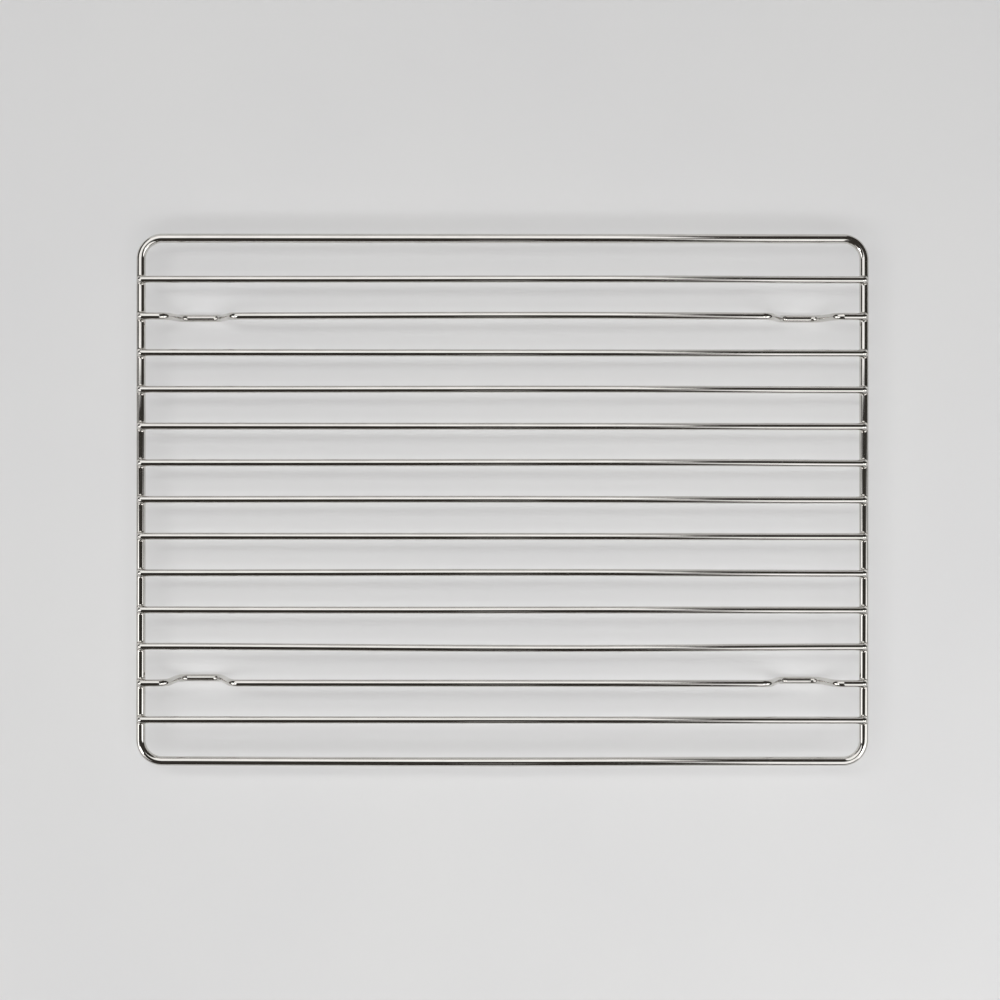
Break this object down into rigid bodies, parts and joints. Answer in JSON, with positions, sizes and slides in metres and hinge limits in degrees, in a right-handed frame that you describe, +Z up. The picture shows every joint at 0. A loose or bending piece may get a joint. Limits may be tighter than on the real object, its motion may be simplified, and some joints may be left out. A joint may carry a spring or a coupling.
{
  "type": "cooling rack",
  "caption": "Low rectangular wire rack for cooling baked goods: round-cornered rim, parallel cross wires welded over its short sides, and feet bent into two of the wires.",
  "frame": {"origin": "on the ground below the middle of the rack, midway between the four feet", "axes": "+X along the cross wires, +Y from the front bar to the back bar, +Z up"},
  "size_m": [0.38, 0.276, 0.0254],
  "materials": {
    "polished_wire": "mirror-bright polished steel wire with faint lengthwise drawing lines",
    "weld_metal": "bright and smooth, a little softer and warmer than the wire"
  },
  "bodies": {
    "root": {"rim_wire": "polished_wire", "rim_butt_weld": "weld_metal", "cross_wire_01": "polished_wire", "foot_wire_front": "polished_wire", "cross_wire_03": "polished_wire", "cross_wire_04": "polished_wire", "cross_wire_05": "polished_wire", "cross_wire_06": "polished_wire", "cross_wire_07": "polished_wire", "cross_wire_08": "polished_wire", "cross_wire_09": "polished_wire", "cross_wire_10": "polished_wire", "cross_wire_11": "polished_wire", "foot_wire_back": "polished_wire", "cross_wire_13": "polished_wire", "weld_left_01": "weld_metal", "weld_left_02": "weld_metal", "weld_left_03": "weld_metal", "weld_left_04": "weld_metal", "weld_left_05": "weld_metal", "weld_left_06": "weld_metal", "weld_left_07": "weld_metal", "weld_left_08": "weld_metal", "weld_left_09": "weld_metal", "weld_left_10": "weld_metal", "weld_left_11": "weld_metal", "weld_left_12": "weld_metal", "weld_left_13": "weld_metal", "weld_right_01": "weld_metal", "weld_right_02": "weld_metal", "weld_right_03": "weld_metal", "weld_right_04": "weld_metal", "weld_right_05": "weld_metal", "weld_right_06": "weld_metal", "weld_right_07": "weld_metal", "weld_right_08": "weld_metal", "weld_right_09": "weld_metal", "weld_right_10": "weld_metal", "weld_right_11": "weld_metal", "weld_right_12": "weld_metal", "weld_right_13": "weld_metal"}
  },
  "joints": []
}
